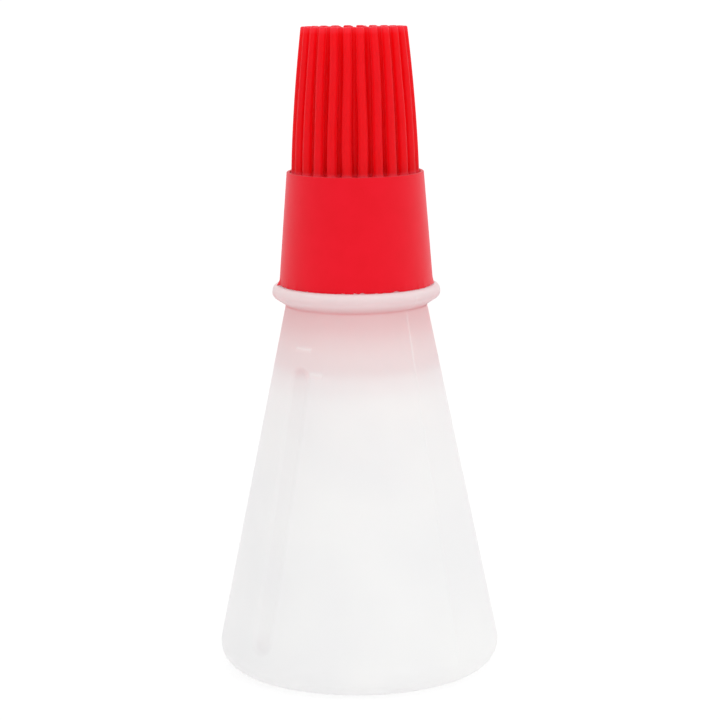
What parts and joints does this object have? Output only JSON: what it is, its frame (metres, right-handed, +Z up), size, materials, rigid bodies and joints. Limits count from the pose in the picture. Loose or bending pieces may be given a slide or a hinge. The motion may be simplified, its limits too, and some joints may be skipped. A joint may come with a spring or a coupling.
{
  "type": "pastry brush",
  "caption": "Squeeze-bottle pastry brush: milky silicone cone bottle with a red silicone bristle head on a pull-out ribbed plug.",
  "frame": {"origin": "centre of the bottle's base, on the surface that it stands on", "axes": "+Z up the bottle's axis towards the bristles; the level window looks towards -X and -Y"},
  "size_m": [0.046, 0.046, 0.105],
  "materials": {
    "frosted_silicone": "milky translucent silicone, satin",
    "red_silicone": "satin moulded silicone",
    "red_polypropylene": "satin moulded plastic"
  },
  "bodies": {
    "bottle": {"bottle": "frosted_silicone"},
    "plug": {"plug_insert": "red_polypropylene"},
    "head": {"brush_head": "red_silicone"},
    "outlet_flap_1": {"outlet_flap_1": "red_silicone"},
    "outlet_flap_2": {"outlet_flap_2": "red_silicone"},
    "outlet_flap_3": {"outlet_flap_3": "red_silicone"},
    "outlet_flap_4": {"outlet_flap_4": "red_silicone"},
    "bristle_outer_01": {"bristle_outer_01": "red_silicone"},
    "bristle_outer_02": {"bristle_outer_02": "red_silicone"},
    "bristle_outer_03": {"bristle_outer_03": "red_silicone"},
    "bristle_outer_04": {"bristle_outer_04": "red_silicone"},
    "bristle_outer_05": {"bristle_outer_05": "red_silicone"},
    "bristle_outer_06": {"bristle_outer_06": "red_silicone"},
    "bristle_outer_07": {"bristle_outer_07": "red_silicone"},
    "bristle_outer_08": {"bristle_outer_08": "red_silicone"},
    "bristle_outer_09": {"bristle_outer_09": "red_silicone"},
    "bristle_outer_10": {"bristle_outer_10": "red_silicone"},
    "bristle_outer_11": {"bristle_outer_11": "red_silicone"},
    "bristle_outer_12": {"bristle_outer_12": "red_silicone"},
    "bristle_outer_13": {"bristle_outer_13": "red_silicone"},
    "bristle_outer_14": {"bristle_outer_14": "red_silicone"},
    "bristle_outer_15": {"bristle_outer_15": "red_silicone"},
    "bristle_outer_16": {"bristle_outer_16": "red_silicone"},
    "bristle_outer_17": {"bristle_outer_17": "red_silicone"},
    "bristle_outer_18": {"bristle_outer_18": "red_silicone"},
    "bristle_outer_19": {"bristle_outer_19": "red_silicone"},
    "bristle_outer_20": {"bristle_outer_20": "red_silicone"},
    "bristle_outer_21": {"bristle_outer_21": "red_silicone"},
    "bristle_outer_22": {"bristle_outer_22": "red_silicone"},
    "bristle_outer_23": {"bristle_outer_23": "red_silicone"},
    "bristle_outer_24": {"bristle_outer_24": "red_silicone"},
    "bristle_middle_01": {"bristle_middle_01": "red_silicone"},
    "bristle_middle_02": {"bristle_middle_02": "red_silicone"},
    "bristle_middle_03": {"bristle_middle_03": "red_silicone"},
    "bristle_middle_04": {"bristle_middle_04": "red_silicone"},
    "bristle_middle_05": {"bristle_middle_05": "red_silicone"},
    "bristle_middle_06": {"bristle_middle_06": "red_silicone"},
    "bristle_middle_07": {"bristle_middle_07": "red_silicone"},
    "bristle_middle_08": {"bristle_middle_08": "red_silicone"},
    "bristle_middle_09": {"bristle_middle_09": "red_silicone"},
    "bristle_middle_10": {"bristle_middle_10": "red_silicone"},
    "bristle_middle_11": {"bristle_middle_11": "red_silicone"},
    "bristle_middle_12": {"bristle_middle_12": "red_silicone"},
    "bristle_middle_13": {"bristle_middle_13": "red_silicone"},
    "bristle_middle_14": {"bristle_middle_14": "red_silicone"},
    "bristle_middle_15": {"bristle_middle_15": "red_silicone"},
    "bristle_middle_16": {"bristle_middle_16": "red_silicone"},
    "bristle_middle_17": {"bristle_middle_17": "red_silicone"},
    "bristle_inner_01": {"bristle_inner_01": "red_silicone"},
    "bristle_inner_02": {"bristle_inner_02": "red_silicone"},
    "bristle_inner_03": {"bristle_inner_03": "red_silicone"},
    "bristle_inner_04": {"bristle_inner_04": "red_silicone"},
    "bristle_inner_05": {"bristle_inner_05": "red_silicone"},
    "bristle_inner_06": {"bristle_inner_06": "red_silicone"},
    "bristle_inner_07": {"bristle_inner_07": "red_silicone"},
    "bristle_inner_08": {"bristle_inner_08": "red_silicone"},
    "bristle_inner_09": {"bristle_inner_09": "red_silicone"},
    "bristle_inner_10": {"bristle_inner_10": "red_silicone"},
    "bristle_inner_11": {"bristle_inner_11": "red_silicone"}
  },
  "joints": [
    {"name": "head_pull", "type": "slide", "parent": "bottle", "child": "plug", "axis": [0, 0, 1], "range_m": [0, 0.03]},
    {"name": "head_turn", "type": "hinge", "parent": "plug", "child": "head", "pos_m": [0, 0, 0.072], "axis": [0, 0, 1], "continuous": true},
    {"name": "outlet_flap_1_hinge", "type": "hinge", "parent": "head", "child": "outlet_flap_1", "pos_m": [0.00109, 0.00109, 0.0806], "axis": [-0.7071, 0.7071, 0], "range_deg": [-25, 40], "stiffness_Nm_per_rad": 0.00004},
    {"name": "outlet_flap_2_hinge", "type": "hinge", "parent": "head", "child": "outlet_flap_2", "pos_m": [-0.00109, 0.00109, 0.0806], "axis": [-0.7071, -0.7071, 0], "range_deg": [-25, 40], "stiffness_Nm_per_rad": 0.00004},
    {"name": "outlet_flap_3_hinge", "type": "hinge", "parent": "head", "child": "outlet_flap_3", "pos_m": [-0.00109, -0.00109, 0.0806], "axis": [0.7071, -0.7071, 0], "range_deg": [-25, 40], "stiffness_Nm_per_rad": 0.00004},
    {"name": "outlet_flap_4_hinge", "type": "hinge", "parent": "head", "child": "outlet_flap_4", "pos_m": [0.00109, -0.00109, 0.0806], "axis": [0.7071, 0.7071, 0], "range_deg": [-25, 40], "stiffness_Nm_per_rad": 0.00004},
    {"name": "bristle_outer_01_bend", "type": "hinge", "parent": "head", "child": "bristle_outer_01", "pos_m": [-0.00125, -0.00949, 0.0822], "axis": [0, 1, 0], "range_deg": [-30, 30], "stiffness_Nm_per_rad": 0.00007},
    {"name": "bristle_outer_02_bend", "type": "hinge", "parent": "head", "child": "bristle_outer_02", "pos_m": [0.00125, -0.00949, 0.0822], "axis": [0, 1, 0], "range_deg": [-30, 30], "stiffness_Nm_per_rad": 0.00007},
    {"name": "bristle_outer_03_bend", "type": "hinge", "parent": "head", "child": "bristle_outer_03", "pos_m": [0.00366, -0.00884, 0.0822], "axis": [0, 1, 0], "range_deg": [-30, 30], "stiffness_Nm_per_rad": 0.00007},
    {"name": "bristle_outer_04_bend", "type": "hinge", "parent": "head", "child": "bristle_outer_04", "pos_m": [0.00583, -0.00759, 0.0822], "axis": [0, 1, 0], "range_deg": [-30, 30], "stiffness_Nm_per_rad": 0.00007},
    {"name": "bristle_outer_05_bend", "type": "hinge", "parent": "head", "child": "bristle_outer_05", "pos_m": [0.00759, -0.00583, 0.0822], "axis": [0, 1, 0], "range_deg": [-30, 30], "stiffness_Nm_per_rad": 0.00007},
    {"name": "bristle_outer_06_bend", "type": "hinge", "parent": "head", "child": "bristle_outer_06", "pos_m": [0.00884, -0.00366, 0.0822], "axis": [0, 1, 0], "range_deg": [-30, 30], "stiffness_Nm_per_rad": 0.00007},
    {"name": "bristle_outer_07_bend", "type": "hinge", "parent": "head", "child": "bristle_outer_07", "pos_m": [0.00949, -0.00125, 0.0822], "axis": [0, 1, 0], "range_deg": [-30, 30], "stiffness_Nm_per_rad": 0.00007},
    {"name": "bristle_outer_08_bend", "type": "hinge", "parent": "head", "child": "bristle_outer_08", "pos_m": [0.00949, 0.00125, 0.0822], "axis": [0, 1, 0], "range_deg": [-30, 30], "stiffness_Nm_per_rad": 0.00007},
    {"name": "bristle_outer_09_bend", "type": "hinge", "parent": "head", "child": "bristle_outer_09", "pos_m": [0.00884, 0.00366, 0.0822], "axis": [0, 1, 0], "range_deg": [-30, 30], "stiffness_Nm_per_rad": 0.00007},
    {"name": "bristle_outer_10_bend", "type": "hinge", "parent": "head", "child": "bristle_outer_10", "pos_m": [0.00759, 0.00583, 0.0822], "axis": [0, 1, 0], "range_deg": [-30, 30], "stiffness_Nm_per_rad": 0.00007},
    {"name": "bristle_outer_11_bend", "type": "hinge", "parent": "head", "child": "bristle_outer_11", "pos_m": [0.00583, 0.00759, 0.0822], "axis": [0, 1, 0], "range_deg": [-30, 30], "stiffness_Nm_per_rad": 0.00007},
    {"name": "bristle_outer_12_bend", "type": "hinge", "parent": "head", "child": "bristle_outer_12", "pos_m": [0.00366, 0.00884, 0.0822], "axis": [0, 1, 0], "range_deg": [-30, 30], "stiffness_Nm_per_rad": 0.00007},
    {"name": "bristle_outer_13_bend", "type": "hinge", "parent": "head", "child": "bristle_outer_13", "pos_m": [0.00125, 0.00949, 0.0822], "axis": [0, 1, 0], "range_deg": [-30, 30], "stiffness_Nm_per_rad": 0.00007},
    {"name": "bristle_outer_14_bend", "type": "hinge", "parent": "head", "child": "bristle_outer_14", "pos_m": [-0.00125, 0.00949, 0.0822], "axis": [0, 1, 0], "range_deg": [-30, 30], "stiffness_Nm_per_rad": 0.00007},
    {"name": "bristle_outer_15_bend", "type": "hinge", "parent": "head", "child": "bristle_outer_15", "pos_m": [-0.00366, 0.00884, 0.0822], "axis": [0, 1, 0], "range_deg": [-30, 30], "stiffness_Nm_per_rad": 0.00007},
    {"name": "bristle_outer_16_bend", "type": "hinge", "parent": "head", "child": "bristle_outer_16", "pos_m": [-0.00583, 0.00759, 0.0822], "axis": [0, 1, 0], "range_deg": [-30, 30], "stiffness_Nm_per_rad": 0.00007},
    {"name": "bristle_outer_17_bend", "type": "hinge", "parent": "head", "child": "bristle_outer_17", "pos_m": [-0.00759, 0.00583, 0.0822], "axis": [0, 1, 0], "range_deg": [-30, 30], "stiffness_Nm_per_rad": 0.00007},
    {"name": "bristle_outer_18_bend", "type": "hinge", "parent": "head", "child": "bristle_outer_18", "pos_m": [-0.00884, 0.00366, 0.0822], "axis": [0, 1, 0], "range_deg": [-30, 30], "stiffness_Nm_per_rad": 0.00007},
    {"name": "bristle_outer_19_bend", "type": "hinge", "parent": "head", "child": "bristle_outer_19", "pos_m": [-0.00949, 0.00125, 0.0822], "axis": [0, 1, 0], "range_deg": [-30, 30], "stiffness_Nm_per_rad": 0.00007},
    {"name": "bristle_outer_20_bend", "type": "hinge", "parent": "head", "child": "bristle_outer_20", "pos_m": [-0.00949, -0.00125, 0.0822], "axis": [0, 1, 0], "range_deg": [-30, 30], "stiffness_Nm_per_rad": 0.00007},
    {"name": "bristle_outer_21_bend", "type": "hinge", "parent": "head", "child": "bristle_outer_21", "pos_m": [-0.00884, -0.00366, 0.0822], "axis": [0, 1, 0], "range_deg": [-30, 30], "stiffness_Nm_per_rad": 0.00007},
    {"name": "bristle_outer_22_bend", "type": "hinge", "parent": "head", "child": "bristle_outer_22", "pos_m": [-0.00759, -0.00583, 0.0822], "axis": [0, 1, 0], "range_deg": [-30, 30], "stiffness_Nm_per_rad": 0.00007},
    {"name": "bristle_outer_23_bend", "type": "hinge", "parent": "head", "child": "bristle_outer_23", "pos_m": [-0.00583, -0.00759, 0.0822], "axis": [0, 1, 0], "range_deg": [-30, 30], "stiffness_Nm_per_rad": 0.00007},
    {"name": "bristle_outer_24_bend", "type": "hinge", "parent": "head", "child": "bristle_outer_24", "pos_m": [-0.00366, -0.00884, 0.0822], "axis": [0, 1, 0], "range_deg": [-30, 30], "stiffness_Nm_per_rad": 0.00007},
    {"name": "bristle_middle_01_bend", "type": "hinge", "parent": "head", "child": "bristle_middle_01", "pos_m": [0, -0.00715, 0.0822], "axis": [0, 1, 0], "range_deg": [-30, 30], "stiffness_Nm_per_rad": 0.00007},
    {"name": "bristle_middle_02_bend", "type": "hinge", "parent": "head", "child": "bristle_middle_02", "pos_m": [0.00258, -0.00667, 0.0822], "axis": [0, 1, 0], "range_deg": [-30, 30], "stiffness_Nm_per_rad": 0.00007},
    {"name": "bristle_middle_03_bend", "type": "hinge", "parent": "head", "child": "bristle_middle_03", "pos_m": [0.00482, -0.00528, 0.0822], "axis": [0, 1, 0], "range_deg": [-30, 30], "stiffness_Nm_per_rad": 0.00007},
    {"name": "bristle_middle_04_bend", "type": "hinge", "parent": "head", "child": "bristle_middle_04", "pos_m": [0.0064, -0.00319, 0.0822], "axis": [0, 1, 0], "range_deg": [-30, 30], "stiffness_Nm_per_rad": 0.00007},
    {"name": "bristle_middle_05_bend", "type": "hinge", "parent": "head", "child": "bristle_middle_05", "pos_m": [0.00712, -0.00066, 0.0822], "axis": [0, 1, 0], "range_deg": [-30, 30], "stiffness_Nm_per_rad": 0.00007},
    {"name": "bristle_middle_06_bend", "type": "hinge", "parent": "head", "child": "bristle_middle_06", "pos_m": [0.00688, 0.00196, 0.0822], "axis": [0, 1, 0], "range_deg": [-30, 30], "stiffness_Nm_per_rad": 0.00007},
    {"name": "bristle_middle_07_bend", "type": "hinge", "parent": "head", "child": "bristle_middle_07", "pos_m": [0.00571, 0.00431, 0.0822], "axis": [0, 1, 0], "range_deg": [-30, 30], "stiffness_Nm_per_rad": 0.00007},
    {"name": "bristle_middle_08_bend", "type": "hinge", "parent": "head", "child": "bristle_middle_08", "pos_m": [0.00376, 0.00608, 0.0822], "axis": [0, 1, 0], "range_deg": [-30, 30], "stiffness_Nm_per_rad": 0.00007},
    {"name": "bristle_middle_09_bend", "type": "hinge", "parent": "head", "child": "bristle_middle_09", "pos_m": [0.00131, 0.00703, 0.0822], "axis": [0, 1, 0], "range_deg": [-30, 30], "stiffness_Nm_per_rad": 0.00007},
    {"name": "bristle_middle_10_bend", "type": "hinge", "parent": "head", "child": "bristle_middle_10", "pos_m": [-0.00131, 0.00703, 0.0822], "axis": [0, 1, 0], "range_deg": [-30, 30], "stiffness_Nm_per_rad": 0.00007},
    {"name": "bristle_middle_11_bend", "type": "hinge", "parent": "head", "child": "bristle_middle_11", "pos_m": [-0.00376, 0.00608, 0.0822], "axis": [0, 1, 0], "range_deg": [-30, 30], "stiffness_Nm_per_rad": 0.00007},
    {"name": "bristle_middle_12_bend", "type": "hinge", "parent": "head", "child": "bristle_middle_12", "pos_m": [-0.00571, 0.00431, 0.0822], "axis": [0, 1, 0], "range_deg": [-30, 30], "stiffness_Nm_per_rad": 0.00007},
    {"name": "bristle_middle_13_bend", "type": "hinge", "parent": "head", "child": "bristle_middle_13", "pos_m": [-0.00688, 0.00196, 0.0822], "axis": [0, 1, 0], "range_deg": [-30, 30], "stiffness_Nm_per_rad": 0.00007},
    {"name": "bristle_middle_14_bend", "type": "hinge", "parent": "head", "child": "bristle_middle_14", "pos_m": [-0.00712, -0.00066, 0.0822], "axis": [0, 1, 0], "range_deg": [-30, 30], "stiffness_Nm_per_rad": 0.00007},
    {"name": "bristle_middle_15_bend", "type": "hinge", "parent": "head", "child": "bristle_middle_15", "pos_m": [-0.0064, -0.00319, 0.0822], "axis": [0, 1, 0], "range_deg": [-30, 30], "stiffness_Nm_per_rad": 0.00007},
    {"name": "bristle_middle_16_bend", "type": "hinge", "parent": "head", "child": "bristle_middle_16", "pos_m": [-0.00482, -0.00528, 0.0822], "axis": [0, 1, 0], "range_deg": [-30, 30], "stiffness_Nm_per_rad": 0.00007},
    {"name": "bristle_middle_17_bend", "type": "hinge", "parent": "head", "child": "bristle_middle_17", "pos_m": [-0.00258, -0.00667, 0.0822], "axis": [0, 1, 0], "range_deg": [-30, 30], "stiffness_Nm_per_rad": 0.00007},
    {"name": "bristle_inner_01_bend", "type": "hinge", "parent": "head", "child": "bristle_inner_01", "pos_m": [-0.0005, -0.00472, 0.0822], "axis": [0, 1, 0], "range_deg": [-30, 30], "stiffness_Nm_per_rad": 0.00007},
    {"name": "bristle_inner_02_bend", "type": "hinge", "parent": "head", "child": "bristle_inner_02", "pos_m": [0.00214, -0.00424, 0.0822], "axis": [0, 1, 0], "range_deg": [-30, 30], "stiffness_Nm_per_rad": 0.00007},
    {"name": "bristle_inner_03_bend", "type": "hinge", "parent": "head", "child": "bristle_inner_03", "pos_m": [0.00409, -0.00241, 0.0822], "axis": [0, 1, 0], "range_deg": [-30, 30], "stiffness_Nm_per_rad": 0.00007},
    {"name": "bristle_inner_04_bend", "type": "hinge", "parent": "head", "child": "bristle_inner_04", "pos_m": [0.00475, 0.00018, 0.0822], "axis": [0, 1, 0], "range_deg": [-30, 30], "stiffness_Nm_per_rad": 0.00007},
    {"name": "bristle_inner_05_bend", "type": "hinge", "parent": "head", "child": "bristle_inner_05", "pos_m": [0.0039, 0.00272, 0.0822], "axis": [0, 1, 0], "range_deg": [-30, 30], "stiffness_Nm_per_rad": 0.00007},
    {"name": "bristle_inner_06_bend", "type": "hinge", "parent": "head", "child": "bristle_inner_06", "pos_m": [0.00181, 0.00439, 0.0822], "axis": [0, 1, 0], "range_deg": [-30, 30], "stiffness_Nm_per_rad": 0.00007},
    {"name": "bristle_inner_07_bend", "type": "hinge", "parent": "head", "child": "bristle_inner_07", "pos_m": [-0.00085, 0.00467, 0.0822], "axis": [0, 1, 0], "range_deg": [-30, 30], "stiffness_Nm_per_rad": 0.00007},
    {"name": "bristle_inner_08_bend", "type": "hinge", "parent": "head", "child": "bristle_inner_08", "pos_m": [-0.00325, 0.00347, 0.0822], "axis": [0, 1, 0], "range_deg": [-30, 30], "stiffness_Nm_per_rad": 0.00007},
    {"name": "bristle_inner_09_bend", "type": "hinge", "parent": "head", "child": "bristle_inner_09", "pos_m": [-0.00461, 0.00116, 0.0822], "axis": [0, 1, 0], "range_deg": [-30, 30], "stiffness_Nm_per_rad": 0.00007},
    {"name": "bristle_inner_10_bend", "type": "hinge", "parent": "head", "child": "bristle_inner_10", "pos_m": [-0.0045, -0.00151, 0.0822], "axis": [0, 1, 0], "range_deg": [-30, 30], "stiffness_Nm_per_rad": 0.00007},
    {"name": "bristle_inner_11_bend", "type": "hinge", "parent": "head", "child": "bristle_inner_11", "pos_m": [-0.00297, -0.00371, 0.0822], "axis": [0, 1, 0], "range_deg": [-30, 30], "stiffness_Nm_per_rad": 0.00007}
  ],
  "couplings": [
    {"joint": "outlet_flap_2_hinge", "follows": "outlet_flap_1_hinge", "ratio": 1},
    {"joint": "outlet_flap_3_hinge", "follows": "outlet_flap_1_hinge", "ratio": 1},
    {"joint": "outlet_flap_4_hinge", "follows": "outlet_flap_1_hinge", "ratio": 1},
    {"joint": "bristle_outer_02_bend", "follows": "bristle_outer_01_bend", "ratio": 1},
    {"joint": "bristle_outer_03_bend", "follows": "bristle_outer_01_bend", "ratio": 1},
    {"joint": "bristle_outer_04_bend", "follows": "bristle_outer_01_bend", "ratio": 1},
    {"joint": "bristle_outer_05_bend", "follows": "bristle_outer_01_bend", "ratio": 1},
    {"joint": "bristle_outer_06_bend", "follows": "bristle_outer_01_bend", "ratio": 1},
    {"joint": "bristle_outer_07_bend", "follows": "bristle_outer_01_bend", "ratio": 1},
    {"joint": "bristle_outer_08_bend", "follows": "bristle_outer_01_bend", "ratio": 1},
    {"joint": "bristle_outer_09_bend", "follows": "bristle_outer_01_bend", "ratio": 1},
    {"joint": "bristle_outer_10_bend", "follows": "bristle_outer_01_bend", "ratio": 1},
    {"joint": "bristle_outer_11_bend", "follows": "bristle_outer_01_bend", "ratio": 1},
    {"joint": "bristle_outer_12_bend", "follows": "bristle_outer_01_bend", "ratio": 1},
    {"joint": "bristle_outer_13_bend", "follows": "bristle_outer_01_bend", "ratio": 1},
    {"joint": "bristle_outer_14_bend", "follows": "bristle_outer_01_bend", "ratio": 1},
    {"joint": "bristle_outer_15_bend", "follows": "bristle_outer_01_bend", "ratio": 1},
    {"joint": "bristle_outer_16_bend", "follows": "bristle_outer_01_bend", "ratio": 1},
    {"joint": "bristle_outer_17_bend", "follows": "bristle_outer_01_bend", "ratio": 1},
    {"joint": "bristle_outer_18_bend", "follows": "bristle_outer_01_bend", "ratio": 1},
    {"joint": "bristle_outer_19_bend", "follows": "bristle_outer_01_bend", "ratio": 1},
    {"joint": "bristle_outer_20_bend", "follows": "bristle_outer_01_bend", "ratio": 1},
    {"joint": "bristle_outer_21_bend", "follows": "bristle_outer_01_bend", "ratio": 1},
    {"joint": "bristle_outer_22_bend", "follows": "bristle_outer_01_bend", "ratio": 1},
    {"joint": "bristle_outer_23_bend", "follows": "bristle_outer_01_bend", "ratio": 1},
    {"joint": "bristle_outer_24_bend", "follows": "bristle_outer_01_bend", "ratio": 1},
    {"joint": "bristle_middle_01_bend", "follows": "bristle_outer_01_bend", "ratio": 1},
    {"joint": "bristle_middle_02_bend", "follows": "bristle_outer_01_bend", "ratio": 1},
    {"joint": "bristle_middle_03_bend", "follows": "bristle_outer_01_bend", "ratio": 1},
    {"joint": "bristle_middle_04_bend", "follows": "bristle_outer_01_bend", "ratio": 1},
    {"joint": "bristle_middle_05_bend", "follows": "bristle_outer_01_bend", "ratio": 1},
    {"joint": "bristle_middle_06_bend", "follows": "bristle_outer_01_bend", "ratio": 1},
    {"joint": "bristle_middle_07_bend", "follows": "bristle_outer_01_bend", "ratio": 1},
    {"joint": "bristle_middle_08_bend", "follows": "bristle_outer_01_bend", "ratio": 1},
    {"joint": "bristle_middle_09_bend", "follows": "bristle_outer_01_bend", "ratio": 1},
    {"joint": "bristle_middle_10_bend", "follows": "bristle_outer_01_bend", "ratio": 1},
    {"joint": "bristle_middle_11_bend", "follows": "bristle_outer_01_bend", "ratio": 1},
    {"joint": "bristle_middle_12_bend", "follows": "bristle_outer_01_bend", "ratio": 1},
    {"joint": "bristle_middle_13_bend", "follows": "bristle_outer_01_bend", "ratio": 1},
    {"joint": "bristle_middle_14_bend", "follows": "bristle_outer_01_bend", "ratio": 1},
    {"joint": "bristle_middle_15_bend", "follows": "bristle_outer_01_bend", "ratio": 1},
    {"joint": "bristle_middle_16_bend", "follows": "bristle_outer_01_bend", "ratio": 1},
    {"joint": "bristle_middle_17_bend", "follows": "bristle_outer_01_bend", "ratio": 1},
    {"joint": "bristle_inner_01_bend", "follows": "bristle_outer_01_bend", "ratio": 1},
    {"joint": "bristle_inner_02_bend", "follows": "bristle_outer_01_bend", "ratio": 1},
    {"joint": "bristle_inner_03_bend", "follows": "bristle_outer_01_bend", "ratio": 1},
    {"joint": "bristle_inner_04_bend", "follows": "bristle_outer_01_bend", "ratio": 1},
    {"joint": "bristle_inner_05_bend", "follows": "bristle_outer_01_bend", "ratio": 1},
    {"joint": "bristle_inner_06_bend", "follows": "bristle_outer_01_bend", "ratio": 1},
    {"joint": "bristle_inner_07_bend", "follows": "bristle_outer_01_bend", "ratio": 1},
    {"joint": "bristle_inner_08_bend", "follows": "bristle_outer_01_bend", "ratio": 1},
    {"joint": "bristle_inner_09_bend", "follows": "bristle_outer_01_bend", "ratio": 1},
    {"joint": "bristle_inner_10_bend", "follows": "bristle_outer_01_bend", "ratio": 1},
    {"joint": "bristle_inner_11_bend", "follows": "bristle_outer_01_bend", "ratio": 1}
  ]
}
